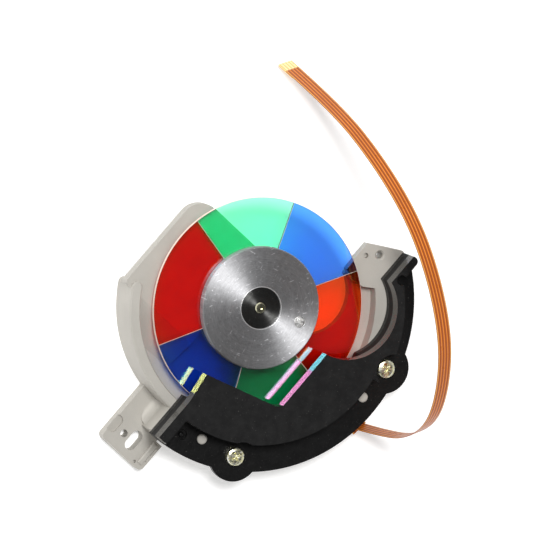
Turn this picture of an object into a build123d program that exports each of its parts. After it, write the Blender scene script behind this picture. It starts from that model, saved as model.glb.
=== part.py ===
from build123d import *
import os
from math import atan, cos, degrees, pi, radians, sin, sqrt, tan

# Projector color wheel: a motor-driven ring of six filter glasses in a cast bracket
# with a black moulded cover. Sizes are in millimetres. The origin is on the wheel's
# axis at the flat back, and +Z runs along the axis to the side that shows the hub.

os.makedirs("parts", exist_ok=True)

# Driving dimensions

# wheel
glass_r = 25.0
glass_bore_r = 9.0
glass_t = 1.0
glass_back = 10.0
glass_joint = 0.10
joint_angles = [127.0, 199.0, 255.0, 309.5, 378.0, 431.0, 487.0]
clamp_r = 14.0
clamp_t = 2.0
clamp_hole_r = 4.8
clamp_edge = 0.22
balance_r = 1.3
balance_depth = 1.1
balance_at = 10.0
balance_angle = -20.0
shaft_r = 1.25
fit_gap = 0.02

# motor
hub_flange_r = 12.4
hub_flange_t = 1.2
cup_r = 10.2
cup_t = 0.8
magnet_t = 1.2
air_gap = 0.45
teeth = 9
tooth_w = 1.3
tooth_gap = 9.0
coil_t = 0.7
coil_gap = 0.05
core_t = 2.4
holder_r = 3.1
holder_wall = 0.9
holder_floor = 0.8
yoke_wall = 1.5
plate_over = 0.8
plate_t = 1.0
plate_z = 1.6
board_t = 0.5
tongue_l = 2.2
motor_ear_r = 2.6
motor_screw_angles = [152.0, 222.0, 292.0]
motor_head_r = 2.0
motor_head_t = 1.2
run_gap = 0.03
pad_gap = 0.03
pad_t = 0.5

# bracket
cut_angle = 48.2
rim_gap = 2.8
rim_t = 2.5
rim_top = 10.0
rim_start = 170.0
rim_end = 375.0
soft_edge = 0.3
floor_drop = 3.4
floor_t = 2.0
bore_gap = 0.6
hub_room = 0.9
post_r = 2.7
skirt_reach = 6.6
skirt_t = 1.8
skin_t = 1.8
skirt_end = 368.0
light_r = 9.6
light_x = 13.7
light_y = 2.4
light_edge = 9.9
light_low = -10.5
pocket_shift = 2.6
pocket_less = 1.5
side_plate_drop = 1.0
side_plate_t = 2.8
side_plate_inset = 0.3
side_plate_low = -16.3
side_plate_in = 6.0
side_corner_r = 5.0
side_ramp_l = 7.5
block_t = 2.2
block_hole_at = 1.34
block_hole_angle = 20.4
block_hole_r = 0.8
block_hole_depth = 4.0
block_pip_back = 3.4
block_pip_r = 0.6
block_boss_r = 1.7
ear_reach = 14.7
ear_left = 5.7
ear_right = -5.3
ear_lip = 1.8
ear_t = 3.0
ear_corner_r = 1.2
ear_slot_l = 5.0
ear_slot_w = 2.8
ear_slot_back = 4.3
ear_slot_side = -1.0
ear_pin_r = 0.9
ear_pin_side = 1.9
ear_dish_side = 5.1
ear_dish_l = 4.4
ear_dish_w = 2.6
ear_dish_depth = 0.8
cove_r = 2.2
cover_post_r = 3.6

# cover
flange_lap = 0.9
flange_t = 1.4
cover_top = 17.0
cover_plate_t = 2.8
cover_wall = 1.6
wheel_room = 1.4
cover_reach = 4.4
arm_step = 2.6
notch_r = 11.5
notch_x = 20.1
notch_y = -0.3
notch_line = -18.55
arm_end = 32.2
arm_tip_l = 8.0
arm_tip_w = 1.85
end_rib_t = 2.4
boss_pitch = 4.05
boss_r = 5.9
boss_angles = [-98.6, -25.7]
screw_r = 1.0
screw_head_r = 2.15
screw_head_t = 1.5
screw_len = 6.0
head_room = 1.9
peg_pitches = [2.2, 3.2]
peg_angles = [-113.5, -39.7]
peg_r = 1.15
dimple_pitches = [3.4, 2.75]
dimple_angles = [-121.9, 10.6]
dimple_r = 1.25
dimple_depth = 0.7

# flex tail
flex_w = 4.0
flex_t = 0.2
flex_angle = -46.6
flex_reach = 3.5
flex_z = 2.9
flex_yaw = 102.3
flex_lean = 21.2
flex_end_l = 5.0
flex_end_t = 0.2
gate_h = 2.4


# Helpers

def rod(r, z0, z1, x=0.0, y=0.0):
    """Upright cylinder from z0 to z1."""
    return Pos(x, y, (z0 + z1) / 2) * Cylinder(r, z1 - z0)


def ring(r_in, r_out, z0, z1):
    """Upright ring about the wheel's axis."""
    return rod(r_out, z0, z1) - rod(r_in, z0 - 1, z1 + 1)


def column(points, z0, z1):
    """Upright prism over a closed outline."""
    outline = make_face(Polyline(*points, close=True))
    return Pos(0, 0, z0) * extrude(outline, z1 - z0, dir=(0, 0, 1))


def wedge(a0, a1, z0, z1, inset=0.0, reach=70.0):
    """Slice of space between two angles about the axis, under half a turn."""
    half = radians((a1 - a0) / 2)
    mid = radians((a0 + a1) / 2)
    shift = inset / sin(half)
    far = reach / cos(half)
    tip = (shift * cos(mid), shift * sin(mid))
    first = (tip[0] + far * cos(radians(a0)), tip[1] + far * sin(radians(a0)))
    middle = (far * cos(mid), far * sin(mid))
    last = (tip[0] + far * cos(radians(a1)), tip[1] + far * sin(radians(a1)))
    return column([tip, first, middle, last], z0, z1)


def sector(r_in, r_out, a0, a1, z0, z1):
    """Part of a ring between two angles."""
    return ring(r_in, r_out, z0, z1) & wedge(a0, a1, z0 - 1, z1 + 1)


def slot(length, width, z0, z1, x, y):
    """Upright slot along the local X."""
    shape = extrude(SlotOverall(length, width), z1 - z0, dir=(0, 0, 1))
    return Pos(x, y, z0) * shape


def box(x0, x1, y0, y1, z0, z1):
    """Block between six planes."""
    return Pos((x0 + x1) / 2, (y0 + y1) / 2, (z0 + z1) / 2) * Box(x1 - x0, y1 - y0, z1 - z0)


def at(radius, angle):
    """Point on a circle about the wheel's axis."""
    return (radius * cos(radians(angle)), radius * sin(radians(angle)))


def save(shape, name):
    """Write one piece to its own file."""
    shape.label = name
    export_step(shape, "parts/" + name + ".step")
    return shape


turned = Rot(0, 0, cut_angle)
past = 500.0

# Heights that follow from the sizes above

glass_front = glass_back + glass_t
clamp_top = glass_front + clamp_t
hub_under = glass_back - hub_flange_t
cup_top = hub_under
board_top = plate_z + plate_t + board_t
cup_low = board_top + 0.4
core_mid = (cup_low + cup_top - cup_t) / 2
core_low = core_mid - core_t / 2
core_high = core_mid + core_t / 2
magnet_out_r = cup_r - cup_t - fit_gap
magnet_in_r = magnet_out_r - magnet_t
tooth_r = magnet_in_r - air_gap
sleeve_r = holder_r - holder_wall
flange_top = rim_top + flange_t
plate_under = cover_top - cover_plate_t

# Radii and places that follow from the sizes above

rim_in_r = glass_r + rim_gap
rim_out_r = rim_in_r + rim_t
skirt_out_r = rim_out_r + skirt_reach
flange_r = skirt_out_r + flange_lap
room_r = glass_r + wheel_room
cover_body_r = room_r + cover_reach
arm_out_r = cover_body_r + arm_step
plate_r = cup_r + plate_over
motor_bore_r = plate_r + bore_gap
screw_circle_r = motor_bore_r + post_r + 0.7
screw_spots = [at(rim_out_r + boss_pitch, angle) for angle in boss_angles]
peg_spots = [at(rim_out_r + reach, angle) for reach, angle in zip(peg_pitches, peg_angles)]
dimple_spots = [at(rim_out_r + reach, angle) for reach, angle in zip(dimple_pitches, dimple_angles)]
block_hole = at(rim_out_r + block_hole_at, block_hole_angle)
block_pip = (block_hole[0] - block_pip_back, block_hole[1])
side_plate_out = rim_in_r - side_plate_inset
side_plate_top = rim_top - side_plate_drop
floor_top = rim_top - floor_drop
floor_low = floor_top - floor_t
ear_end = -rim_out_r - ear_reach
flex_exit_r = skirt_out_r + flex_reach

# Turning group

shaft_low = holder_floor + pad_t
shaft_high = clamp_top - 0.3
shaft = rod(shaft_r, shaft_low, shaft_high)
shaft = chamfer(shaft.edges().group_by(Axis.Z)[-1], 0.25)
shaft = shaft - rod(0.45, shaft_high - 0.4, shaft_high + 1)
save(shaft, "shaft")

boss_r_hub = clamp_hole_r - 0.08
rotor_hub = rod(hub_flange_r, hub_under, glass_back)
rotor_hub = rotor_hub + rod(glass_bore_r - 0.1, glass_back, glass_front - 0.1)
rotor_hub = rotor_hub + rod(boss_r_hub, glass_front - 0.2, clamp_top - 0.55)
rotor_hub = rotor_hub - rod(shaft_r + fit_gap, 0, 30)
save(rotor_hub, "rotor_hub")

rotor_cup = rod(cup_r, cup_low, cup_top) - rod(cup_r - cup_t, cup_low - 1, cup_top - cup_t)
rotor_cup = rotor_cup - rod(shaft_r + 0.6, 0, 30)
outer_edge = rotor_cup.edges().group_by(Axis.Z)[-1].sort_by(Edge.length)[-1]
rotor_cup = chamfer(outer_edge, 0.3)
save(rotor_cup, "rotor_cup")

magnet_ring = ring(magnet_in_r, magnet_out_r, cup_low + 0.3, cup_top - cup_t - 0.2)
save(magnet_ring, "magnet_ring")

clamp_disc = ring(clamp_hole_r, clamp_r, glass_front, clamp_top)
clamp_disc = chamfer(clamp_disc.edges().group_by(Axis.Z)[-1], clamp_edge)
balance_x, balance_y = at(balance_at, balance_angle)
clamp_disc = clamp_disc - rod(balance_r, clamp_top - balance_depth, clamp_top + 1, balance_x, balance_y)
save(clamp_disc, "clamp_disc")

drop_low = clamp_top - balance_depth
drop = rod(balance_r - fit_gap, drop_low, clamp_top - 0.35, balance_x, balance_y)
dome_r = balance_r - fit_gap
dome = Pos(balance_x, balance_y, clamp_top - 0.35) * scale(Sphere(dome_r), by=(1, 1, 0.3))
drop = drop + (dome & rod(dome_r, clamp_top - 0.5, clamp_top + 1, balance_x, balance_y))
save(drop, "balance_drop")

glass_ring = ring(glass_bore_r, glass_r, glass_back, glass_front)
glass_names = ["red_a", "blue_a", "green_a", "red_b", "blue_b", "green_b"]
for i, name in enumerate(glass_names):
    cut = wedge(joint_angles[i], joint_angles[i + 1], glass_back - 1, glass_front + 1, glass_joint / 2)
    save(glass_ring & cut, "glass_" + name)

# Motor

motor_plate = rod(plate_r, plate_z, plate_z + plate_t)
for angle in motor_screw_angles:
    ear_x, ear_y = at(screw_circle_r, angle)
    motor_plate = motor_plate + rod(motor_ear_r, plate_z, plate_z + plate_t, ear_x, ear_y)
    arm = box(plate_r - 2, screw_circle_r, -motor_ear_r, motor_ear_r, plate_z, plate_z + plate_t)
    motor_plate = motor_plate + Rot(0, 0, angle) * arm
for angle in motor_screw_angles:
    ear_x, ear_y = at(screw_circle_r, angle)
    motor_plate = motor_plate - rod(screw_r + 0.15, 0, 5, ear_x, ear_y)
motor_plate = motor_plate - rod(holder_r + fit_gap, 0, 5)
save(motor_plate, "motor_plate")

holder_top = cup_top - cup_t - 0.4
bearing_holder = rod(holder_r, 0, holder_top) - rod(sleeve_r, holder_floor, holder_top + 1)
save(bearing_holder, "bearing_holder")

thrust_pad = rod(sleeve_r - fit_gap, holder_floor, shaft_low - pad_gap)
save(thrust_pad, "thrust_pad")

sleeve_top = holder_top - 0.3
sleeve = rod(sleeve_r - fit_gap, shaft_low + 0.3, sleeve_top) - rod(shaft_r + run_gap, 0, 30)
save(sleeve, "sleeve_bearing")

board_r = plate_r - 0.6
motor_board = ring(holder_r + 0.4, board_r, plate_z + plate_t, board_top)
tongue_turn = Rot(0, 0, flex_angle)
tongue_low = plate_z + plate_t
tongue_half = flex_w / 2 + 1.4
tongue = tongue_turn * box(board_r - 1.5, board_r + tongue_l, -tongue_half, tongue_half,
                           tongue_low, board_top)
motor_board = motor_board + tongue
save(motor_board, "motor_board")

yoke_r = holder_r + yoke_wall
core = ring(holder_r + fit_gap, yoke_r, core_low, core_high)
pitch = 360.0 / teeth
shoe_half = (pitch - tooth_gap) / 2
shoe_in_r = tooth_r - 0.8
for i in range(teeth):
    leg = box(yoke_r - 0.3, tooth_r - 0.4, -tooth_w / 2, tooth_w / 2, core_low, core_high)
    shoe = sector(shoe_in_r, tooth_r, -shoe_half, shoe_half, core_low, core_high)
    core = core + Rot(0, 0, i * pitch) * (leg + shoe)
save(core, "stator_core")

coil_in = yoke_r + 0.35
coil_out = shoe_in_r - 0.25
for i in range(teeth):
    half_w = tooth_w / 2 + coil_gap
    outer = box(coil_in, coil_out, -half_w - coil_t, half_w + coil_t,
                core_low - coil_gap - coil_t, core_high + coil_gap + coil_t)
    outer = fillet(outer.edges().filter_by(Axis.X), coil_t * 0.8)
    inner = box(coil_in - 1, coil_out + 1, -half_w, half_w, core_low - coil_gap, core_high + coil_gap)
    save(Rot(0, 0, i * pitch) * (outer - inner), "coil_" + str(i + 1))

for i, angle in enumerate(motor_screw_angles):
    sx, sy = at(screw_circle_r, angle)
    head = rod(motor_head_r, plate_z - motor_head_t, plate_z, sx, sy)
    head = chamfer(head.edges().group_by(Axis.Z)[0], 0.3)
    recess = box(-1.1, 1.1, -0.22, 0.22, -1, plate_z - 0.6)
    recess = recess + box(-0.22, 0.22, -1.1, 1.1, -1, plate_z - 0.6)
    screw = head + rod(screw_r, plate_z - 0.1, floor_top - 0.4, sx, sy) - Pos(sx, sy, 0) * recess
    save(screw, "motor_screw_" + str(i + 1))

# Bracket

# upright rim that runs from the upper left plate round to the right block
rim = ring(rim_in_r, rim_out_r, 0, rim_top)
rim = chamfer(rim.edges().group_by(Axis.Z)[-1], soft_edge)
rim = rim - wedge(rim_end - 360, rim_start, -1, rim_top + 1)
nose_x, nose_y = at(rim_in_r + rim_t / 2, rim_start)
rim_nose = rod(rim_t / 2, 0, rim_top, nose_x, nose_y)
rim = rim + chamfer(rim_nose.edges().group_by(Axis.Z)[-1], soft_edge)

# skin and skirt under the cover
skirt_from = cut_angle + 180.0
skirt_half = 320.0
skirt_in_r = rim_out_r - 0.5
skin_low = rim_top - skin_t
skirt = sector(skirt_in_r, skirt_out_r, skirt_from, skirt_half, skin_low, rim_top)
skirt = skirt + sector(skirt_in_r, skirt_out_r, skirt_half - 1, skirt_end, skin_low, rim_top)
skirt = skirt + sector(skirt_out_r - skirt_t, skirt_out_r, skirt_from, skirt_half, 0, rim_top)
skirt = skirt + sector(skirt_out_r - skirt_t, skirt_out_r, skirt_half - 1, skirt_end, 0, rim_top)
end_wall = box(-skirt_out_r + 0.1, -rim_out_r + 0.5, -skirt_t, 0, 0, rim_top)
end_corner = end_wall.edges().filter_by(Axis.Z).sort_by(lambda e: e.center().X - e.center().Y)[0]
end_wall = fillet(end_corner, skirt_t * 0.8)
pocket_r = rim_in_r - pocket_less
pocket = rod(pocket_r, floor_top, rim_top + 1, pocket_shift, 0)
bracket = rim + skirt + turned * end_wall
bracket = bracket - (pocket & wedge(-60, 30, 0, rim_top + 1))

# floor behind the glass
floor_plate = rod(rim_in_r + rim_t / 2, floor_low, floor_top)
floor_plate = floor_plate - turned * box(-past, past, side_plate_out - 1.0, past, 0, rim_top)
bracket = bracket + floor_plate

# upper left plate with its straight edges and rounded corner
side_plate_under = side_plate_top - side_plate_t
side_plate = box(side_plate_low, light_edge, side_plate_in, side_plate_out,
                 side_plate_under, side_plate_top)
outer_corner = side_plate.edges().filter_by(Axis.Z).sort_by(lambda e: e.center().X + e.center().Y)[-1]
side_plate = fillet(outer_corner, side_corner_r)
low_corner = side_plate.edges().filter_by(Axis.Z).sort_by(lambda e: e.center().X - e.center().Y)[0]
side_plate = fillet(low_corner, 0.8)
web = box(side_plate_low + 1.0, light_edge, side_plate_in, side_plate_out - 3.0,
          floor_low, side_plate_top - 0.5)
ramp_outline = [(side_plate_low + 0.5, floor_top - 0.5), (side_plate_low + 0.5, side_plate_top),
                (side_plate_low, side_plate_top), (side_plate_low - side_ramp_l, floor_top),
                (side_plate_low - side_ramp_l, floor_top - 0.5)]
ramp = Rot(90, 0, 0) * column(ramp_outline, -side_plate_out, -side_plate_in)
ramp = (turned * ramp) & rod(rim_in_r + 0.5, 0, rim_top)
corner_x = light_edge - side_corner_r
corner_y = side_plate_out - side_corner_r
past_corner = box(corner_x, past, corner_y, past, -1, rim_top)
past_corner = past_corner - rod(side_corner_r - 0.4, -2, rim_top + 1, corner_x, corner_y)
bracket = bracket + turned * web - turned * past_corner
bracket = bracket + turned * side_plate + ramp

# right block, with a boss round its tapped through hole
block_outline = [at(rim_out_r - 0.5, 27.8), at(skirt_out_r + 0.25, 18.7),
                 at(skirt_out_r + 1.0, 15.9), at(skirt_out_r - 0.3, 13.6),
                 at(skirt_out_r, 7.2), at(skirt_out_r, 3.1), at(rim_in_r + 0.65, 7.1),
                 at(rim_in_r - 1.9, 8.7), at(rim_in_r - 6.0, 19.0)]
block_under = rim_top - block_t
boss_low = rim_top - block_hole_depth
bracket = bracket + column(block_outline, block_under, rim_top)
bracket = bracket + rod(block_boss_r, boss_low, rim_top - 0.5, block_hole[0], block_hole[1])
block_web = [at(rim_in_r + 1.0, 20.3), at(skirt_out_r - 1.4, 13.7), at(skirt_out_r - 1.4, 4.8),
             at(rim_in_r + 1.0, 6.6)]
bracket = bracket + column(block_web, floor_low, rim_top - 0.5)

# mounting ear, with its lip, slot, pin hole and open dish
ear_step = -skirt_out_r - 0.5
ear_low_side = ear_right - ear_lip
ear_mid = ear_end + ear_slot_back
ear = box(ear_end, -rim_in_r - 1.5, ear_right, ear_left, 0, ear_t)
ear = ear + box(ear_end, ear_step, ear_low_side, ear_right + 0.5, 0, ear_t)
ear_ends = ear.edges().filter_by(Axis.Z).sort_by(Axis.X)[:2]
ear = fillet(ear_ends, ear_corner_r)
ridge = box(ear_end + 1.2, ear_step - 0.6, ear_right - 0.9, ear_right + 0.5, ear_t - 0.5, ear_t + 0.6)
ridge = fillet(ridge.edges().group_by(Axis.Z)[-1], 0.4)
rail = box(ear_end + 2.6, ear_step - 1.2, ear_low_side + 0.25, ear_low_side + 0.85,
           ear_t - 0.5, ear_t + 0.35)
rail = chamfer(rail.edges().group_by(Axis.Z)[-1], 0.15)
ear = ear + ridge + rail
ear = ear - slot(ear_slot_l, ear_slot_w, -1, ear_t + 1, ear_mid, ear_slot_side)
ear = ear - rod(ear_pin_r, -1, ear_t + 1, ear_mid - 0.3, ear_pin_side)
dish = slot(ear_dish_l, ear_dish_w, ear_t - ear_dish_depth, ear_t + 1, ear_mid, ear_dish_side)
ear = ear - dish - rod(0.35, ear_t - 0.8, ear_t + 1, ear_mid - 3.4, ear_right + 0.9)
bracket = bracket + turned * ear

# hollow sweep from the ear up to the end of the skirt
cove_end = -skirt_out_r + 0.4
cove = box(cove_end, -rim_out_r + 0.3, -0.5, cove_r, ear_t - 0.5, ear_t + cove_r)
cove = cove - Pos(-rim_out_r, cove_r, ear_t + cove_r) * Rot(0, 90, 0) * Cylinder(cove_r, 6 * skirt_reach)
cove_side = box(cove_end - 1, cove_end + cove_r, -0.5, past, 0, rim_top)
cove = cove - (cove_side - rod(cove_r, -1, rim_top + 1, cove_end + cove_r, -0.5))
bracket = bracket + turned * cove

# bosses for the cover screws, and the two pegs that place the cover
for bx, by in screw_spots:
    bracket = bracket + rod(cover_post_r, 0, rim_top, bx, by)
for px, py in peg_spots:
    bracket = bracket + rod(peg_r + 1.0, skin_low - 3.0, rim_top, px, py)
    peg = rod(peg_r, rim_top - 0.5, flange_top + 0.5, px, py)
    bracket = bracket + chamfer(peg.edges().group_by(Axis.Z)[-1], 0.3)

# posts for the motor screws
for angle in motor_screw_angles:
    sx, sy = at(screw_circle_r, angle)
    bracket = bracket + rod(post_r, plate_z + plate_t, floor_top, sx, sy)

# motor bore, and the window that lets the light through
bracket = bracket - rod(motor_bore_r, -1, rim_top + 1)
bracket = bracket - rod(hub_flange_r + hub_room, floor_top, rim_top + 1)
bracket = bracket - rod(light_r, -1, rim_top + 1, light_x, light_y)
bracket = bracket - turned * box(light_edge, past, light_low, past, -1, rim_top + 1)
under_block = turned * box(2 * light_edge, past, light_low - 1.6, past, -1, block_under)
bracket = bracket - (under_block - wedge(-30, 15, -2, rim_top + 1))

# screw holes, gates for the flex, and the holes in the block
for bx, by in screw_spots:
    bracket = bracket - rod(screw_r + fit_gap, rim_top - screw_len, rim_top + 1, bx, by)
for angle in motor_screw_angles:
    sx, sy = at(screw_circle_r, angle)
    bracket = bracket - rod(screw_r + fit_gap, plate_z, floor_top - 0.3, sx, sy)
gate = box(rim_in_r - 2, skirt_out_r + 2, -flex_w, flex_w, flex_z - gate_h / 2, flex_z + gate_h / 2)
bracket = bracket - Rot(0, 0, flex_angle) * gate
bracket = bracket - rod(block_hole_r, -1, rim_top + 1, block_hole[0], block_hole[1])
countersink = Cone(block_hole_r, block_hole_r + 0.4, 0.4)
bracket = bracket - Pos(block_hole[0], block_hole[1], rim_top - 0.2) * countersink
bracket = bracket - rod(block_pip_r, rim_top - 1.2, rim_top + 1, block_pip[0], block_pip[1])
save(bracket, "bracket")

# Cover

# raised body: front plate over the lower part of the wheel
corner_a = at(glass_r + 2.0, -131.8)
corner_b = at(glass_r - 5.0, -134.8)
corner_c = at(glass_r - 2.9, -83.2)
corner_d = at(glass_r - 2.7, -78.6)
corner_e = at(glass_r - 7.0, -35.0)
corner_f = at(arm_out_r - 1.6, -8.1)
far_left = at(past, -131.8)
body_outline = [far_left, corner_a, corner_b, corner_c, corner_d, corner_e, corner_f,
                (past, corner_f[1]), (past, -past), (0, -past)]
body = rod(cover_body_r, rim_top, cover_top) & column(body_outline, rim_top - 1, cover_top + 1)

# arm round the concave notch, with its straight tip
behind_line = turned * box(-past, arm_end, -past, notch_line, rim_top - 1, cover_top + 1)
arm = rod(arm_out_r, rim_top, cover_top) & wedge(-32, 30, rim_top - 1, cover_top + 1)
tip_low = notch_line - arm_tip_w
tip = box(arm_end - arm_tip_l, arm_end, tip_low, notch_line, rim_top, cover_top)
outer_edge = tip.edges().filter_by(Axis.Z).sort_by(lambda e: e.center().X - e.center().Y)[-1]
tip = fillet(outer_edge, arm_tip_w * 0.6)
inner_edge = tip.edges().filter_by(Axis.Z).sort_by(lambda e: e.center().X + e.center().Y)[-1]
tip = fillet(inner_edge, arm_tip_w * 0.2)
end_rib = turned * box(-flange_r, -cover_body_r + 2, -end_rib_t, 0, rim_top, cover_top)
body = body + (arm & behind_line) + turned * tip + end_rib
for sx, sy in screw_spots:
    body = body - rod(screw_head_r + head_room, flange_top, cover_top + 1, sx, sy)

# room for the wheel, and the hollow behind the front plate
body = body - rod(room_r, rim_top - 1, plate_under)
body = body - sector(glass_r, cover_body_r - cover_wall, skirt_from + 5, skirt_half + 2,
                     rim_top - 1, plate_under)

# flange with the screw bosses, held by the pegs and screws
flange_in_r = cover_body_r - 1.0
flange_end = skirt_end + 6.0
flange = sector(flange_in_r, flange_r, skirt_from, skirt_half, rim_top, flange_top)
flange_right = sector(flange_in_r, flange_r, skirt_half - 1, flange_end, rim_top, flange_top)
flange = flange + (flange_right & behind_line)
for sx, sy in screw_spots:
    tab = rod(boss_r, rim_top, flange_top, sx, sy) - rod(flange_in_r, 0, cover_top)
    flange = flange + tab
cover = flange + body
cover = cover - rod(notch_r, rim_top - 1, cover_top + 1, notch_x, notch_y)
for sx, sy in screw_spots:
    cover = cover - rod(screw_r + 0.2, 0, past, sx, sy)
for px, py in peg_spots:
    cover = cover - rod(peg_r + 0.08, 0, past, px, py)

# round pockets with a small dome
for dx, dy in dimple_spots:
    dimple_low = flange_top - dimple_depth
    cover = cover - rod(dimple_r, dimple_low, cover_top + 1, dx, dy)
    bump = Pos(dx, dy, dimple_low - 0.1) * Sphere(dimple_r * 0.55)
    cover = cover + (bump & rod(dimple_r * 0.7, dimple_low - 0.2, cover_top, dx, dy))
save(cover, "cover")

for name, (sx, sy) in zip(["left", "right"], screw_spots):
    head = rod(screw_head_r, flange_top, flange_top + screw_head_t, sx, sy)
    head = chamfer(head.edges().group_by(Axis.Z)[-1], 0.45)
    recess_low = flange_top + screw_head_t - 0.9
    recess = box(-1.25, 1.25, -0.28, 0.28, recess_low, cover_top)
    recess = recess + box(-0.28, 0.28, -1.25, 1.25, recess_low, cover_top)
    screw = head + rod(screw_r, rim_top - screw_len + 0.3, flange_top + 0.1, sx, sy)
    screw = screw - Pos(sx, sy, 0) * (Rot(0, 0, 20) * recess)
    save(screw, "cover_screw_" + name)

# Flex tail

# The tail leaves flat through the gates in the rims, is creased upward and stands in an arch.
# The arch is drawn in its own plane: first number along the floor, second number upward.
exit_x, exit_y = at(flex_exit_r, flex_angle)
flex_route = [
    (0.0, 0.0),
    (-1.3, 9.0),
    (-1.7, 17.6),
    (2.0, 26.2),
    (10.4, 32.1),
    (22.0, 36.0),
    (36.0, 35.9),
    (50.0, 32.4),
    (63.5, 24.1),
    (75.7, 12.9),
    (86.0, -2.0),
]


def corner_radii(points):
    """Largest even arcs: 0.45 of the shorter run over the tangent of half the turn."""
    radii = []
    for before, here, after in zip(points, points[1:], points[2:]):
        first = Vector(*here) - Vector(*before)
        second = Vector(*after) - Vector(*here)
        half_turn = radians(first.get_angle(second)) / 2
        radii.append(0.45 * min(first.length, second.length) / tan(half_turn))
    return radii


flex_radii = corner_radii(flex_route)
print("flex radii", [round(r, 1) for r in flex_radii])
side = Vector(cos(radians(flex_yaw)), sin(radians(flex_yaw)), 0)
lean_x = sin(radians(flex_lean)) * sin(radians(flex_yaw))
lean_y = -sin(radians(flex_lean)) * cos(radians(flex_yaw))
up = Vector(lean_x, lean_y, cos(radians(flex_lean)))
across = side.cross(up)
flex_plane = Plane(origin=(exit_x, exit_y, flex_z), x_dir=side, z_dir=across)
line = FilletPolyline(*flex_route, radius=flex_radii)
strip_length = line.length
centre_line = flex_plane.from_local_coords(line)
section = Plane(origin=centre_line @ 0, x_dir=across, z_dir=centre_line % 0)
tail = sweep(section * Rectangle(flex_w, flex_t), path=centre_line)
print("flex length", round(strip_length, 2), "volume", round(tail.volume, 2), "expected",
      round(strip_length * flex_w * flex_t, 2))
tail_root_r = board_r + 0.4
flat_run = box(tail_root_r, flex_exit_r + 0.9, -flex_w / 2, flex_w / 2,
               board_top, board_top + flex_t)
flat_run = Rot(0, 0, flex_angle) * flat_run
flex_tail = flat_run + tail
save(flex_tail, "flex_tail")

# stiffener on the back of the contact end
end_point = centre_line @ 1
end_dir = centre_line % 1
end_normal = across.cross(end_dir)
end_place = end_point - end_dir * (flex_end_l / 2 + 0.2) - end_normal * (flex_t + flex_end_t) / 2
stiff_plane = Plane(origin=end_place, x_dir=end_dir, z_dir=end_normal)
flex_end = stiff_plane * Box(flex_end_l, flex_w, flex_end_t)
print("flex end low", round(min(tail.bounding_box().min.Z, flex_end.bounding_box().min.Z), 2))
save(flex_end, "flex_end")
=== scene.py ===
import math

import bpy
from mathutils import Matrix, Vector


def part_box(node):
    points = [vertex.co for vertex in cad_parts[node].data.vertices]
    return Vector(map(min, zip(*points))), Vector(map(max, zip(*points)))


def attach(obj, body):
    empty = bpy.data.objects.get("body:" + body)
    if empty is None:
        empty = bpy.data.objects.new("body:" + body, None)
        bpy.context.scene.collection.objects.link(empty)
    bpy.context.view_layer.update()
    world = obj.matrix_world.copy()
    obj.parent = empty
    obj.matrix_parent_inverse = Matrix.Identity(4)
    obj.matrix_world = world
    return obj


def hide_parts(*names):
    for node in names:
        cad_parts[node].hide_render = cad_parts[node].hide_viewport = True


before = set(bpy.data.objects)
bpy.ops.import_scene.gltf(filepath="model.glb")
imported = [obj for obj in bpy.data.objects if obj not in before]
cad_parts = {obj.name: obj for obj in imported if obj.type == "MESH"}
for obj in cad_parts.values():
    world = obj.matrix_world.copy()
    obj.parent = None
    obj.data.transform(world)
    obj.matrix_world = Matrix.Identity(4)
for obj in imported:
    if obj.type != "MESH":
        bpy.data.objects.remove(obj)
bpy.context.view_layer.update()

bl_info = {
    "name": "Projector Color Wheel",
    "version": (1, 0, 0),
    "blender": (4, 5, 0),
    "location": "View3D > Sidebar > Color Wheel",
    "description": "Dresses a filter wheel module: glass, spun metal, casting, cover and flex tail",
    "category": "Object",
}

MM = 0.001


# Sizes and colours


def colour_property(name, text, default):
    """A colour that the user can change in the panel."""
    return bpy.props.FloatVectorProperty(
        name=name, description=text, default=default, subtype="COLOR", size=3, min=0.0, max=1.0
    )


def length_property(name, text, default):
    """A length in metres."""
    return bpy.props.FloatProperty(
        name=name, description=text, default=default, unit="LENGTH", precision=5, min=0.0
    )


def level_property(name, text, default):
    """A plain amount."""
    return bpy.props.FloatProperty(name=name, description=text, default=default, min=0.0)


class WheelLooks(bpy.types.PropertyGroup):
    """Colours of the glass and of the turned metal."""

    red_through: colour_property("Red through", "Light that the red filter passes", (1.0, 0.13, 0.012))
    green_through: colour_property("Green through", "Light that the green filter passes", (0.40, 0.98, 0.72))
    blue_through: colour_property("Blue through", "Light that the blue filter passes", (0.10, 0.42, 1.0))
    red_below: colour_property("Red below", "Light that falls on what is under red", (0.44, 0.0, 0.0))
    green_below: colour_property("Green below", "Light that falls on what is under green", (0.0, 0.66, 0.38))
    blue_below: colour_property("Blue below", "Light that falls on what is under blue", (0.0, 0.0, 0.21))
    red_back: colour_property("Red back", "Light that the red filter mirrors", (0.25, 0.85, 1.0))
    green_back: colour_property("Green back", "Light that the green filter mirrors", (1.0, 0.35, 0.75))
    blue_back: colour_property("Blue back", "Light that the blue filter mirrors", (0.95, 1.0, 0.30))
    # pale as ground glass is, with a warm gold tint that is a painted reflection of the coloured light the
    # coatings throw along their edges
    ground_edge: colour_property("Ground edge", "Colour of the glass's cut edges", (0.92, 0.76, 0.65))
    metal: colour_property("Spun metal", "Colour of the clamp disc", (0.40, 0.40, 0.41))
    hub: colour_property("Hub metal", "Colour of the hub inside the disc", (0.11, 0.11, 0.107))


class CastingLooks(bpy.types.PropertyGroup):
    """Colours of the bracket, the cover and the screws, and sizes of the screws."""

    metal: colour_property("Casting", "Colour of the bead-blasted casting", (0.445, 0.425, 0.385))
    plastic: colour_property("Cover", "Colour of the black moulding", (0.0032, 0.0032, 0.0034))
    zinc: colour_property("Screws", "Colour of the yellow zinc plate", (0.88, 0.84, 0.52))
    head_radius: length_property("Screw head radius", "Radius of a cover screw's head", 2.15 * MM)
    head_height: length_property("Screw head height", "Height of a cover screw's head", 1.5 * MM)
    thread_pitch: length_property("Thread pitch", "Distance from thread to thread", 0.4 * MM)


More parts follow.
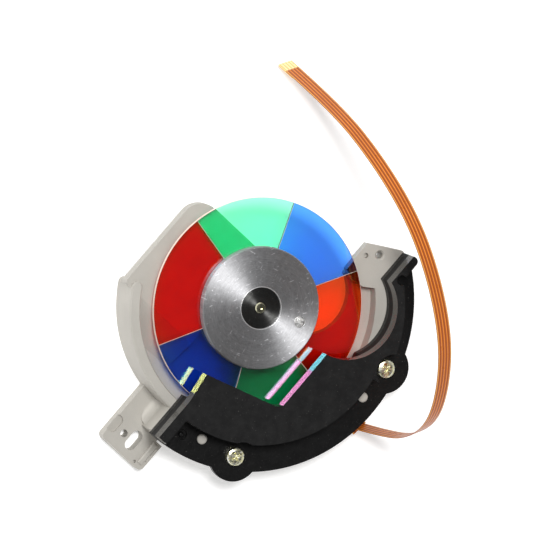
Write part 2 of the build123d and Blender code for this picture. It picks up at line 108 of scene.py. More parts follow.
class FlexLooks(bpy.types.PropertyGroup):
    """Sizes and colours of the flex tail."""

    width: length_property("Width", "Width of the flex", 4.0 * MM)
    thickness: length_property("Thickness", "Thickness of the film and its copper", 0.16 * MM)
    conductor_width: length_property("Conductor width", "Width of each copper line", 0.5 * MM)
    pitch: length_property("Pitch", "Distance from line to line", 0.9 * MM)
    contact_length: length_property("Contact length", "Length of the bare contacts", 2.6 * MM)
    film: colour_property("Film", "Colour of the orange film", (0.74, 0.225, 0.022))
    margin: colour_property("Film margin", "Colour of the film at its sides", (0.68, 0.33, 0.08))
    copper: colour_property("Covered copper", "Colour of copper under the film", (0.31, 0.062, 0.004))
    contact: colour_property("Contacts", "Colour of the bare contacts", (0.95, 0.72, 0.36))


class StageLooks(bpy.types.PropertyGroup):
    """Floor, light and camera."""

    floor: colour_property("Floor", "Colour of the pale floor", (0.92, 0.92, 0.92))
    tent: level_property("Tent", "Brightness of the white tent round the object", 0.95)
    roof: level_property("Roof", "Brightness of the dark top of the tent", 0.06)
    key: level_property("Key", "Power of the main lamp in watts", 8.5)
    table: level_property("Table", "Light that the floor gives off, as a light table does", 0.3)
    distance: length_property("Camera distance", "From the wheel to the camera", 1.4)
    field: length_property("Field", "Width of the view at the wheel", 0.1246)


# Small helpers


def looks(name):
    """One of the property groups on the scene."""
    return getattr(bpy.context.scene, "color_wheel_" + name)


def deselect_all():
    """Leaves nothing selected, in object mode."""
    if bpy.context.object and bpy.context.object.mode != "OBJECT":
        bpy.ops.object.mode_set(mode="OBJECT")
    bpy.ops.object.select_all(action="DESELECT")


def activate(obj):
    """Makes one object the only selected and active one."""
    deselect_all()
    obj.select_set(True)
    bpy.context.view_layer.objects.active = obj


def bake_place(obj):
    """Moves an object's place, turn and size into its mesh."""
    activate(obj)
    bpy.ops.object.transform_apply(location=True, rotation=True, scale=True)


def smooth(obj, angle):
    """Shades smooth, with edges over the angle kept sharp."""
    activate(obj)
    bpy.ops.object.shade_smooth_by_angle(angle=math.radians(angle))


def select_faces(obj, wanted):
    """Selects only the faces that are wanted, and leaves the mesh in edit mode."""
    bpy.ops.object.mode_set(mode="EDIT")
    bpy.ops.mesh.select_mode(type="FACE")
    bpy.ops.mesh.select_all(action="DESELECT")
    bpy.ops.object.mode_set(mode="OBJECT")
    for face in obj.data.polygons:
        face.select = wanted(face)
    bpy.ops.object.mode_set(mode="EDIT")


def dress(obj, material):
    """Gives an object one material all over."""
    obj.data.materials.clear()
    obj.data.materials.append(material)


def node(name):
    """A CAD node's object."""
    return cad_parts[name]


# Material building


class Graph:
    """Short way to write a node tree."""

    def __init__(self, tree):
        self.tree = tree

    def add(self, kind, values=None, **fields):
        """A new node, with its fields and the values of its inputs."""
        new = self.tree.nodes.new(kind)
        for field, value in fields.items():
            setattr(new, field, value)
        for key, value in (values or {}).items():
            self.feed(new.inputs[key], value)
        return new

    def feed(self, socket, value):
        """Gives an input a number, a colour or another node's output."""
        if isinstance(value, bpy.types.NodeSocket):
            self.tree.links.new(value, socket)
        elif isinstance(value, (tuple, list)) and len(value) == 3 and socket.type == "RGBA":
            socket.default_value = (*value, 1.0)
        else:
            socket.default_value = value

    def math(self, operation, a, b=0.0):
        """One sum."""
        return self.add("ShaderNodeMath", {0: a, 1: b}, operation=operation).outputs[0]

    def swing(self, noise, amount):
        """How far a noise is from its middle, times an amount."""
        return self.math("MULTIPLY", self.math("SUBTRACT", noise, 0.5), amount)

    def reach(self, x, y):
        """Distance from the wheel's axis."""
        return self.math("SQRT", self.math("ADD", self.math("MULTIPLY", x, x), self.math("MULTIPLY", y, y)))

    def mix(self, factor, a, b):
        """A colour between two, the first at 0 and the second at 1."""
        new = self.add("ShaderNodeMix", data_type="RGBA")
        self.feed(new.inputs["Factor"], factor)
        self.feed(new.inputs[6], a)
        self.feed(new.inputs[7], b)
        return new.outputs[2]

    def ramp(self, value, low, high, to_low=0.0, to_high=1.0):
        """A value that climbs from one level to another and stays level outside."""
        new = self.add("ShaderNodeMapRange", {0: value, 1: low, 2: high, 3: to_low, 4: to_high})
        return new.outputs[0]

    def noise(self, vector, scale, detail, rough):
        """A smooth noise about 0.5."""
        new = self.add("ShaderNodeTexNoise", {"Vector": vector, "Scale": scale, "Detail": detail,
                                              "Roughness": rough})
        return new.outputs["Fac"]

    def place(self):
        """Place on the object."""
        return self.add("ShaderNodeTexCoord").outputs["Object"]

    def split(self, vector):
        """The three parts of a vector."""
        return self.add("ShaderNodeSeparateXYZ", {0: vector}).outputs

    def bump(self, height, strength, distance):
        """A normal that follows a height."""
        new = self.add("ShaderNodeBump", {"Strength": strength, "Distance": distance, "Height": height})
        return new.outputs["Normal"]


def new_material(name):
    """An empty node material: its graph and its Principled shader."""
    material = bpy.data.materials.new(name)
    material.use_nodes = True
    shader = material.node_tree.nodes["Principled BSDF"]
    return material, Graph(material.node_tree), shader


def new_group(name, inputs, outputs):
    """A shader node group with named sockets."""
    group = bpy.data.node_groups.new(name, "ShaderNodeTree")
    for title, kind, default in inputs:
        socket = group.interface.new_socket(name=title, in_out="INPUT", socket_type=kind)
        if default is not None:
            socket.default_value = default
    for title, kind in outputs:
        group.interface.new_socket(name=title, in_out="OUTPUT", socket_type=kind)
    graph = Graph(group)
    return group, graph, graph.add("NodeGroupInput").outputs, graph.add("NodeGroupOutput").inputs


FLOAT = "NodeSocketFloat"
COLOUR = "NodeSocketColor"
VECTOR = "NodeSocketVector"


def blasted_skin():
    """Fine pits and soft blotches of a bead-blasted or moulded surface."""
    group, g, ins, outs = new_group(
        "Blasted skin",
        [("Vector", VECTOR, None), ("Colour", COLOUR, (0.5, 0.5, 0.5, 1.0)), ("Grain", FLOAT, 9000.0),
         ("Depth", FLOAT, 0.00002), ("Blotch", FLOAT, 0.1), ("Roughness", FLOAT, 0.5)],
        [("Colour", COLOUR), ("Roughness", FLOAT), ("Normal", VECTOR)])
    fine = g.noise(ins["Vector"], ins["Grain"], 2.0, 0.6)
    broad = g.noise(ins["Vector"], 130.0, 4.0, 0.6)
    shade = g.math("ADD", g.swing(broad, ins["Blotch"]), g.swing(fine, ins["Blotch"]))
    value = g.math("ADD", shade, 1.0)
    hsv = g.add("ShaderNodeHueSaturation", {"Value": value, "Color": ins["Colour"]})
    g.feed(outs["Colour"], hsv.outputs["Color"])
    g.feed(outs["Roughness"], g.math("ADD", ins["Roughness"], g.swing(fine, 0.25)))
    g.feed(outs["Normal"], g.bump(fine, 0.6, ins["Depth"]))
    return group


# turn, scale along and scale across of each set of straight scratches
SCRATCHES = ((0.5, 420.0, 3400.0), (2.1, 330.0, 3000.0), (1.2, 2800.0, 500.0))


def turned_marks():
    """Circular tool marks about the wheel's axis, with dings and short scratches."""
    group, g, ins, outs = new_group(
        "Turned marks",
        [("Vector", VECTOR, None), ("Colour", COLOUR, (0.7, 0.7, 0.7, 1.0)), ("Pitch", FLOAT, 0.00012),
         ("Strength", FLOAT, 0.3), ("Roughness", FLOAT, 0.3)],
        [("Colour", COLOUR), ("Roughness", FLOAT), ("Normal", VECTOR)])
    x, y, _ = g.split(ins["Vector"])
    turns = g.math("DIVIDE", g.reach(x, y), ins["Pitch"])
    line = g.add("ShaderNodeCombineXYZ", {0: turns, 1: 0.0, 2: 0.0}).outputs[0]
    marks = g.noise(line, 1.0, 4.0, 0.7)
    broad = g.noise(line, 0.08, 2.0, 0.5)
    dings = g.noise(ins["Vector"], 1300.0, 2.0, 0.6)
    ding = g.ramp(dings, 0.68, 0.72)
    for turn, along, over in SCRATCHES:
        lean = g.add("ShaderNodeVectorRotate", {"Vector": ins["Vector"], "Angle": turn}).outputs[0]
        drawn = g.add("ShaderNodeVectorMath", {0: lean, 1: (along, over, 1.0)}, operation="MULTIPLY")
        scratch = g.noise(drawn.outputs[0], 1.0, 0.0, 0.5)
        ding = g.math("MAXIMUM", ding, g.ramp(scratch, 0.77, 0.83))
    level = g.add("ShaderNodeCombineXYZ", {0: x, 1: y, 2: 0.0}).outputs[0]
    spread = g.add("ShaderNodeVectorMath", {0: level}, operation="NORMALIZE").outputs[0]
    rays = g.noise(spread, 42.0, 2.0, 0.7)
    ways = g.split(spread)
    arc = g.add("ShaderNodeCombineXYZ", {0: g.math("MULTIPLY", turns, 0.42),
                                         1: g.math("MULTIPLY", ways[0], 9.0),
                                         2: g.math("MULTIPLY", ways[1], 9.0)}).outputs[0]
    arcs = g.noise(arc, 1.0, 3.0, 0.75)
    value = g.math("ADD", g.swing(broad, 0.25), 1.0)
    for noise, amount in ((marks, 0.5), (rays, 0.3), (arcs, 0.9)):
        value = g.math("ADD", value, g.swing(noise, amount))
    value = g.math("ADD", value, g.math("MULTIPLY", ding, 0.9))
    hsv = g.add("ShaderNodeHueSaturation", {"Value": value, "Color": ins["Colour"]})
    g.feed(outs["Colour"], hsv.outputs["Color"])
    rough = g.math("ADD", ins["Roughness"], g.swing(broad, 0.2))
    g.feed(outs["Roughness"], g.math("ADD", rough, g.math("MULTIPLY", ding, 0.2)))
    height = g.math("ADD", marks, g.math("MULTIPLY", ding, 2.0))
    g.feed(outs["Normal"], g.bump(height, ins["Strength"], 0.000004))
    return group


def use_group(g, group, values):
    """Places a node group in a material."""
    new = g.add("ShaderNodeGroup")
    new.node_tree = group
    for key, value in values.items():
        g.feed(new.inputs[key], value)
    return new.outputs


# the node groups that materials share, filled by main
GROUPS = {}


def skin_material(name, colour, metallic, roughness, grain, depth, blotch):
    """A plain surface with fine pits: their scale and depth, and how uneven its colour is."""
    material, g, shader = new_material(name)
    out = use_group(g, GROUPS["skin"], {"Vector": g.place(), "Colour": tuple(colour), "Grain": grain,
                                        "Depth": depth, "Blotch": blotch, "Roughness": roughness})
    g.feed(shader.inputs["Base Color"], out["Colour"])
    g.feed(shader.inputs["Roughness"], out["Roughness"])
    g.feed(shader.inputs["Normal"], out["Normal"])
    shader.inputs["Metallic"].default_value = metallic
    return material


def turned_material(name, colour, roughness, pitch, strength, fan):
    """Lathe-turned metal: the pitch and strength of its marks, and how far glints fan out."""
    material, g, shader = new_material(name)
    out = use_group(g, GROUPS["turned"], {"Vector": g.place(), "Colour": tuple(colour), "Pitch": pitch,
                                          "Strength": strength, "Roughness": roughness})
    g.feed(shader.inputs["Base Color"], out["Colour"])
    g.feed(shader.inputs["Roughness"], out["Roughness"])
    g.feed(shader.inputs["Normal"], out["Normal"])
    shader.inputs["Metallic"].default_value = 1.0
    shader.inputs["Anisotropic"].default_value = fan
    shader.inputs["Anisotropic Rotation"].default_value = 0.25
    grain = g.add("ShaderNodeTangent", direction_type="RADIAL", axis="Z")
    g.feed(shader.inputs["Tangent"], grain.outputs[0])
    return material


def filter_material(name, through, below, back, edge_colour):
    """Coated filter glass: passes one colour, mirrors the rest, and has pale ground edges."""
    material, g, shader = new_material(name)
    place = g.place()
    facing = g.split(g.add("ShaderNodeNewGeometry").outputs["Normal"])[2]
    edge = g.ramp(g.math("ABSOLUTE", facing), 0.3, 0.7, 1.0, 0.0)
    # the cut sides take the ground edge colour: pale ground glass, with a gold tint that is a painted
    # reflection
    g.feed(shader.inputs["Base Color"], g.mix(edge, tuple(through), tuple(edge_colour)))
    smear = g.ramp(g.noise(place, 160.0, 3.0, 0.6), 0.3, 0.8, 0.0, 0.03)
    g.feed(shader.inputs["Roughness"], g.math("MAXIMUM", smear, g.math("MULTIPLY", edge, 0.6)))
    shader.inputs["Transmission Weight"].default_value = 1.0
    shader.inputs["IOR"].default_value = 2.1
    shader.inputs["Specular IOR Level"].default_value = 1.0
    shader.inputs["Specular Tint"].default_value = (*back, 1.0)
    clear = g.add("ShaderNodeBsdfTransparent", {"Color": tuple(below)})
    lets_light(material, g, shader, clear)
    return material


def lets_light(material, g, shader, clear):
    """Lets lamp light pass straight through a clear piece on its way to what is behind."""
    path = g.add("ShaderNodeLightPath")
    mixed = g.add("ShaderNodeMixShader", {0: path.outputs["Is Shadow Ray"], 1: shader.outputs[0],
                                          2: clear.outputs[0]})
    g.feed(material.node_tree.nodes["Material Output"].inputs["Surface"], mixed.outputs[0])


# Camera and stage

# the photograph's view: its directions, and how far its middle is from the wheel's
VIEW_RIGHT = Vector((0.9392, 0.0234, 0.3428))
VIEW_UP = Vector((0.0234, 0.9911, -0.1316))
VIEW_BACK = Vector((-0.3428, 0.1316, 0.9302))
VIEW_SHIFT_RIGHT = 3.815 * MM
VIEW_SHIFT_UP = 7.234 * MM
GLASS_CENTRE = Vector((0.0, 0.0, 11.0 * MM))
SENSOR = 36.0

# the main lamp stands where the cover's smooth walls mirror it
KEY_DIRECTION = Vector((-0.1955, 0.3042, 0.9323))
KEY_DISTANCE = 1.0
KEY_SIZE = 0.30

FLOOR_SIZE = 6.0

# the tent turns into its dark roof between these heights
ROOF_STARTS = 0.56
ROOF_FULL = 0.80


def lamp(name, towards, distance, size, power):
    """A round soft lamp that looks at the wheel from a direction."""
    data = bpy.data.lights.new(name, "AREA")
    data.shape = "DISK"
    data.size = size
    data.energy = power
    lit = bpy.data.objects.new(name, data)
    bpy.context.collection.objects.link(lit)
    direction = towards.normalized()
    lit.location = GLASS_CENTRE + direction * distance
    lit.rotation_euler = direction.to_track_quat("Z", "Y").to_euler()
    lit.visible_transmission = False


class COLORWHEEL_OT_stage(bpy.types.Operator):
    """Sets the pale floor, the soft lights and the camera"""

    bl_idname = "colorwheel.stage"
    bl_label = "Stage"

    def execute(self, context):
        settings = looks("stage")
        scene = context.scene
        scene.view_settings.view_transform = "Standard"
        deselect_all()
        bpy.ops.mesh.primitive_plane_add(size=FLOOR_SIZE, location=(0.0, 0.0, 0.0))
        floor = context.object
        floor.name = "floor"
        bake_place(floor)
        material, g, shader = new_material("Pale paper")
        tone = g.noise(g.place(), 6.0, 2.0, 0.5)
        g.feed(shader.inputs["Base Color"], g.mix(tone, tuple(settings.floor), (0.93, 0.93, 0.93)))
        shader.inputs["Roughness"].default_value = 0.9
        shader.inputs["Emission Color"].default_value = (1.0, 1.0, 1.0, 1.0)
        shader.inputs["Emission Strength"].default_value = settings.table
        dress(floor, material)

        world = bpy.data.worlds.new("Studio")
        scene.world = world
        world.use_nodes = True
        tent = Graph(world.node_tree)
        sky = world.node_tree.nodes["Background"].inputs
        sky["Color"].default_value = (1.0, 1.0, 1.0, 1.0)
        height = tent.split(tent.add("ShaderNodeTexCoord").outputs["Generated"])[2]
        light = tent.ramp(height, ROOF_STARTS, ROOF_FULL, settings.tent, settings.roof)
        tent.feed(sky["Strength"], light)
        world.cycles_visibility.transmission = False
        lamp("Key", KEY_DIRECTION, KEY_DISTANCE, KEY_SIZE, settings.key)

        camera_data = bpy.data.cameras.new("Camera")
        camera = bpy.data.objects.new("Camera", camera_data)
        context.collection.objects.link(camera)
        centre = GLASS_CENTRE + VIEW_RIGHT * VIEW_SHIFT_RIGHT + VIEW_UP * VIEW_SHIFT_UP
        camera.location = centre + VIEW_BACK * settings.distance
        axes = Matrix((VIEW_RIGHT.normalized(), VIEW_UP.normalized(), VIEW_BACK.normalized()))
        camera.rotation_euler = axes.transposed().to_euler()
        camera_data.sensor_width = SENSOR
        camera_data.lens = SENSOR * settings.distance / settings.field
        camera_data.clip_end = 20.0
        scene.camera = camera
        return {"FINISHED"}


# Flex tail

# where the film leaves the bracket, and the plane that its arch stands in, in millimetres
FLEX_EXIT_RADIUS = 40.4
FLEX_ANGLE = math.radians(-46.6)
FLEX_LOW = 2.9
FLEX_YAW = math.radians(102.3)
FLEX_LEAN = math.radians(21.2)

# way along and rise of the arch in that plane, from the exit to the tip
FLEX_ROUTE = (
    (0.0, 0.0), (-1.3, 9.0), (-1.7, 17.6), (2.0, 26.2), (10.4, 32.1), (22.0, 36.0),
    (36.0, 35.9), (50.0, 32.4), (63.5, 24.1), (75.7, 12.9), (86.0, -2.0),
)
FLEX_EXIT = Vector((FLEX_EXIT_RADIUS * math.cos(FLEX_ANGLE), FLEX_EXIT_RADIUS * math.sin(FLEX_ANGLE),
                    FLEX_LOW)) * MM
FLEX_SIDE = Vector((math.cos(FLEX_YAW), math.sin(FLEX_YAW), 0.0))
FLEX_RISE = Vector((math.sin(FLEX_LEAN) * math.sin(FLEX_YAW), -math.sin(FLEX_LEAN) * math.cos(FLEX_YAW),
                    math.cos(FLEX_LEAN)))
FLEX_ACROSS = FLEX_SIDE.cross(FLEX_RISE)

# the copper lines: how many, how far they stand up, and how wide their sloped sides are
FLEX_LINES = 4
FLEX_OUTER = (FLEX_LINES - 1) / 2
FLEX_RAISED = 0.03
FLEX_SLOPE = 0.08

# flat run inside the bracket: where it starts and ends from the axis, its level, and its steps
FLEX_ROOT_START = 10.8
FLEX_ROOT_END = 41.3
FLEX_ROOT_LEVEL = 3.2
FLEX_ROOT_STEPS = 12


def flex_line():
    """Points and directions read from the smooth spline through the route."""
    data = bpy.data.curves.new("flex_line", "CURVE")
    data.dimensions = "3D"
    data.resolution_u = 12
    spline = data.splines.new("NURBS")
    spline.points.add(len(FLEX_ROUTE) - 1)
    for point, (along, rise) in zip(spline.points, FLEX_ROUTE):
        spot = FLEX_EXIT + FLEX_SIDE * along * MM + FLEX_RISE * rise * MM
        point.co = (*spot, 1.0)
    spline.order_u = 3
    spline.use_endpoint_u = True
    holder = bpy.data.objects.new("flex_line", data)
    bpy.context.collection.objects.link(holder)
    mesh = bpy.data.meshes.new_from_object(holder)
    points = [v.co.copy() for v in mesh.vertices]
    bpy.data.objects.remove(holder)
    bpy.data.meshes.remove(mesh)
    return points


def directions(points):
    """Unit direction of the line at each of its points."""
    result = []
    for i in range(len(points)):
        before = points[max(i - 1, 0)]
        after = points[min(i + 1, len(points) - 1)]
        result.append((after - before).normalized())
    return result


def flex_section(settings):
    """Outline of the flex across its width: film with raised copper lines."""
    half = settings.width / 2
    thin = settings.thickness / 2
    raised = FLEX_RAISED * MM
    slope = FLEX_SLOPE * MM
    top = [(-half, thin)]
    for line in range(FLEX_LINES):
        middle = (line - FLEX_OUTER) * settings.pitch
        edge = settings.conductor_width / 2
        top += [(middle - edge - slope, thin), (middle - edge, thin + raised),
                (middle + edge, thin + raised), (middle + edge + slope, thin)]
    top.append((half, thin))
    bottom = [(x, -y) for x, y in reversed(top)]
    return top + bottom


def ribbon(name, points, section, across_line):
    """A mesh that carries a flat outline along a line."""
    verts = []
    faces = []
    steps = directions(points)
    count = len(section)
    run = 0.0
    runs = []
    for i, (point, step) in enumerate(zip(points, steps)):
        if i:
            run += (point - points[i - 1]).length
        runs.append(run)
        normal = across_line.cross(step).normalized()
        for across, rise in section:
            verts.append(point + across_line * across + normal * rise)
    for i in range(len(points) - 1):
        for j in range(count):
            k = (j + 1) % count
            faces.append((i * count + j, i * count + k, (i + 1) * count + k, (i + 1) * count + j))
    faces.append(tuple(range(count))[::-1])
    faces.append(tuple((len(points) - 1) * count + j for j in range(count)))
    mesh = bpy.data.meshes.new(name)
    mesh.from_pydata([tuple(v) for v in verts], [], faces)
    layer = mesh.uv_layers.new(name="UVMap")
    for loop in mesh.loops:
        i, j = divmod(loop.vertex_index, count)
        layer.data[loop.index].uv = (section[j][0] / MM, runs[i] / MM)
    obj = bpy.data.objects.new(name, mesh)
    bpy.context.collection.objects.link(obj)
    activate(obj)
    bpy.ops.object.mode_set(mode="EDIT")
    bpy.ops.mesh.select_all(action="SELECT")
    bpy.ops.mesh.normals_make_consistent(inside=False)
    bpy.ops.object.mode_set(mode="OBJECT")
    smooth(obj, 40.0)
    return obj, run


def film_material(name, settings, length):
    """Orange film over copper lines, with bare contacts from a length on."""
    material, g, shader = new_material(name)
    uv = g.add("ShaderNodeUVMap", uv_map="UVMap").outputs[0]
    across, along, _ = g.split(uv)
    pitch = settings.pitch / MM
    cell = g.math("PINGPONG", g.math("ADD", across, pitch * FLEX_LINES / 2), pitch / 2)
    edge = settings.conductor_width / MM / 2
    line = g.ramp(cell, pitch / 2 - edge - FLEX_SLOPE, pitch / 2 - edge)
    grain = g.noise(g.place(), 900.0, 3.0, 0.6)
    broad = g.noise(g.place(), 90.0, 2.0, 0.5)
    wash = g.mix(g.ramp(broad, 0.35, 0.65), tuple(settings.film), tuple(c * 0.86 for c in settings.film))
    outer = pitch * FLEX_OUTER + edge
    beside = g.ramp(g.math("ABSOLUTE", across), outer + 0.04, outer + 0.12)
    covered = g.mix(line, g.mix(beside, wash, tuple(settings.margin)), tuple(settings.copper))
    bare_from = (length - settings.contact_length) / MM
    bare_end = g.ramp(along, bare_from - FLEX_SLOPE, bare_from)
    bare = g.mix(line, (0.72, 0.46, 0.17), tuple(settings.contact))
    g.feed(shader.inputs["Base Color"], g.mix(bare_end, covered, bare))
    g.feed(shader.inputs["Metallic"], g.math("MULTIPLY", g.math("MULTIPLY", line, bare_end), 0.6))
    g.feed(shader.inputs["Roughness"], g.ramp(grain, 0.2, 0.8, 0.22, 0.4))
    height = g.math("ADD", broad, g.math("MULTIPLY", grain, 0.1))
    g.feed(shader.inputs["Normal"], g.bump(height, 0.3, 2e-5))
    shader.inputs["Coat Weight"].default_value = 0.1
    shader.inputs["Coat Roughness"].default_value = 0.15
    shader.inputs["Specular IOR Level"].default_value = 0.25
    return material


class COLORWHEEL_OT_flex_tail(bpy.types.Operator):
    """Makes the flat flex with its four copper lines and bare contacts"""

    bl_idname = "colorwheel.flex_tail"
    bl_label = "Flex Tail"

    def execute(self, context):
        settings = looks("flex")
        points = flex_line()
        section = flex_section(settings)
        tail, length = ribbon("flex_ribbon", points, section, FLEX_ACROSS)
        dress(tail, film_material("Orange film", settings, length))
        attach(tail, "frame")
        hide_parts("flex_tail")
        stiffener = skin_material("Stiffener", (0.78, 0.42, 0.10), 0.0, 0.4, 4000.0, 1e-5, 0.1)
        dress(node("flex_end"), stiffener)

        outward = Vector((math.cos(FLEX_ANGLE), math.sin(FLEX_ANGLE), 0.0))
        level = Vector((0.0, 0.0, FLEX_ROOT_LEVEL * MM))
        step = (FLEX_ROOT_END - FLEX_ROOT_START) / FLEX_ROOT_STEPS
        run = [outward * (FLEX_ROOT_START + step * i) * MM + level for i in range(FLEX_ROOT_STEPS + 1)]
        root, _ = ribbon("flex_root", run, section, Vector((0.0, 0.0, 1.0)).cross(outward))
        dress(root, film_material("Orange film at the root", settings, 1.0))
        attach(root, "frame")
        return {"FINISHED"}


# Wheel

# the inner edge of a glass is nearer the axis than this, and the hub and the disc hide it
HIDDEN_REACH = 9.5 * MM
EDGE_WALL = 0.03 * MM

# radius, roundness and depth under the disc's face of each bright lip
BORE_LIP = (4.86 * MM, 0.09 * MM, 0.07 * MM)
BALANCE_LIP = (1.32 * MM, 0.07 * MM, 0.05 * MM)


def ground_edge(name, cad, material):
    """The pale ground edge of a glass: a thin wall just outside its cut sides."""
    deselect_all()
    edge = bpy.data.objects.new(name, node(cad).data.copy())
    bpy.context.collection.objects.link(edge)
    activate(edge)
    bpy.ops.object.mode_set(mode="EDIT")
    bpy.ops.mesh.select_all(action="SELECT")
    bpy.ops.mesh.remove_doubles(threshold=1e-6)
    select_faces(edge, lambda face: abs(face.normal.z) > 0.5)
    bpy.ops.mesh.delete(type="ONLY_FACE")
    select_faces(edge, lambda face: math.hypot(face.center.x, face.center.y) < HIDDEN_REACH)
    bpy.ops.mesh.delete(type="FACE")
    bpy.ops.object.mode_set(mode="OBJECT")
    wall = edge.modifiers.new("wall", "SOLIDIFY")
    wall.thickness = EDGE_WALL
    wall.offset = 1.0
    bpy.ops.object.modifier_apply(modifier=wall.name)
    dress(edge, material)
    smooth(edge, 30.0)
    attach(edge, "wheel")
    return edge


def bright_lip(name, size, x, y, top, material):
    """A thin broken edge of a hole in the disc, which catches the light."""
    radius, round_by, depth = size
    deselect_all()
    bpy.ops.mesh.primitive_torus_add(major_radius=radius, minor_radius=round_by, major_segments=96,
                                     minor_segments=10, location=(x, y, top - depth))
    lip = bpy.context.object
    lip.name = name
    bake_place(lip)
    dress(lip, material)
    smooth(lip, 60.0)
    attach(lip, "wheel")


def glue_material(name):
    """Clear glue with soft swirls, partly see-through; the dark and pale swirls in its colour are painted
    reflections.
    """
    material, g, shader = new_material(name)
    swirl = g.noise(g.place(), 1100.0, 2.0, 0.5)
    # painted reflections: dark and pale swirls in the colour stand in for the dark lines and glints of the
    # clear drop
    tone = g.mix(g.ramp(swirl, 0.42, 0.58), (0.30, 0.30, 0.30), (0.97, 0.97, 0.95))
    g.feed(shader.inputs["Base Color"], tone)
    g.feed(shader.inputs["Roughness"], g.ramp(swirl, 0.3, 0.7, 0.02, 0.08))
    g.feed(shader.inputs["Normal"], g.bump(swirl, 1.0, 4e-4))
    shader.inputs["Transmission Weight"].default_value = 0.55
    shader.inputs["IOR"].default_value = 1.5
    clear = g.add("ShaderNodeBsdfTransparent", {"Color": (0.95, 0.95, 0.93)})
    lets_light(material, g, shader, clear)
    return material


class COLORWHEEL_OT_wheel(bpy.types.Operator):
    """Finishes the filter glasses, the clamp disc, the hub and the shaft"""

    bl_idname = "colorwheel.wheel"
    bl_label = "Wheel"

    def execute(self, context):
        settings = looks("wheel")
        # the ground edge colour is pale ground glass with a gold tint that is a painted reflection
        ground = skin_material("Ground glass edge", settings.ground_edge, 0.0, 0.5, 9000.0, 1e-5, 0.15)
        for colour in ("red", "green", "blue"):
            material = filter_material(
                colour.capitalize() + " filter", getattr(settings, colour + "_through"),
                getattr(settings, colour + "_below"), getattr(settings, colour + "_back"),
                settings.ground_edge)
            for copy in ("_a", "_b"):
                glass = "glass_" + colour + copy
                dress(node(glass), material)
                edge = ground_edge("edge_" + colour + copy, glass, ground)

        lip = skin_material("Broken edge", (0.80, 0.80, 0.80), 1.0, 0.35, 3000.0, 5e-6, 0.1)
        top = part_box("clamp_disc")[1][2]
        bright_lip("disc_bore_lip", BORE_LIP, 0.0, 0.0, top, lip)
        low, high = (Vector(corner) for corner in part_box("balance_drop"))
        middle = (low + high) / 2
        bright_lip("balance_hole_lip", BALANCE_LIP, middle.x, middle.y, top, lip)

        disc = turned_material("Spun aluminium", settings.metal, 0.50, 0.00011, 0.6, 0.87)
        dress(node("clamp_disc"), disc)
        dress(node("rotor_hub"), turned_material("Turned hub", settings.hub, 0.30, 0.0001, 0.3, 0.9))
        dress(node("shaft"), turned_material("Ground shaft", (0.66, 0.64, 0.46), 0.2, 0.00008, 0.2, 0.5))
        cup = turned_material("Pressed cup", (0.42, 0.42, 0.43), 0.3, 0.0002, 0.3, 0.4)
        dress(node("rotor_cup"), cup)
        dress(node("magnet_ring"), skin_material("Magnet", (0.06, 0.06, 0.06), 0.3, 0.5, 4000.0, 2e-5, 0.3))
        dress(node("balance_drop"), glue_material("Clear glue"))
        return {"FINISHED"}


# Castings

# painted shade on the casting fades between these: radius, level, way down and way across from the axis
COVER_SHADE_RADIUS = (27.0 * MM, 29.0 * MM)
COVER_SHADE_LEVEL = (7.5 * MM, 8.5 * MM)
COVER_SHADE_DOWN = (10.0 * MM, 15.5 * MM)
COVER_SHADE_ACROSS = (-9.0 * MM, -3.0 * MM)

# the cover's flange lies below the first level, and its smooth walls, which are painted paler as a sheen,
# start at the second
FLANGE_TOP = (11.5 * MM, 11.7 * MM)
WALLS_START = (13.9 * MM, 14.1 * MM)


def casting_material(name, colour):
    """Bead-blasted casting, with painted shade darkening the part of its floor that the cover hides."""
    material, g, shader = new_material(name)
    place = g.place()
    out = use_group(g, GROUPS["skin"], {"Vector": place, "Colour": tuple(colour), "Grain": 6000.0,
                                        "Depth": 2.5e-5, "Blotch": 0.26, "Roughness": 0.62})
    x, y, z = g.split(place)
    up = g.ramp(g.split(g.add("ShaderNodeNewGeometry").outputs["Normal"])[2], 0.3, 0.7)
    inside = g.ramp(g.reach(x, y), *COVER_SHADE_RADIUS, 1.0, 0.0)
    low = g.ramp(z, *COVER_SHADE_LEVEL, 1.0, 0.0)
    under_cover = g.math("MULTIPLY", g.ramp(g.math("MULTIPLY", y, -1.0), *COVER_SHADE_DOWN),
                    g.ramp(x, *COVER_SHADE_ACROSS))
    painted_shade = g.math("MULTIPLY", g.math("MULTIPLY", up, inside), g.math("MULTIPLY", low, under_cover))
    # painted shade: the floor under the cover is mixed towards near black in place of the cover's shadow
    shaded_colour = g.mix(g.math("MULTIPLY", painted_shade, 0.85), out["Colour"], (0.03, 0.03, 0.03))
    g.feed(shader.inputs["Base Color"], shaded_colour)
    g.feed(shader.inputs["Roughness"], out["Roughness"])
    g.feed(shader.inputs["Normal"], out["Normal"])
    shader.inputs["Metallic"].default_value = 0.25
    return material


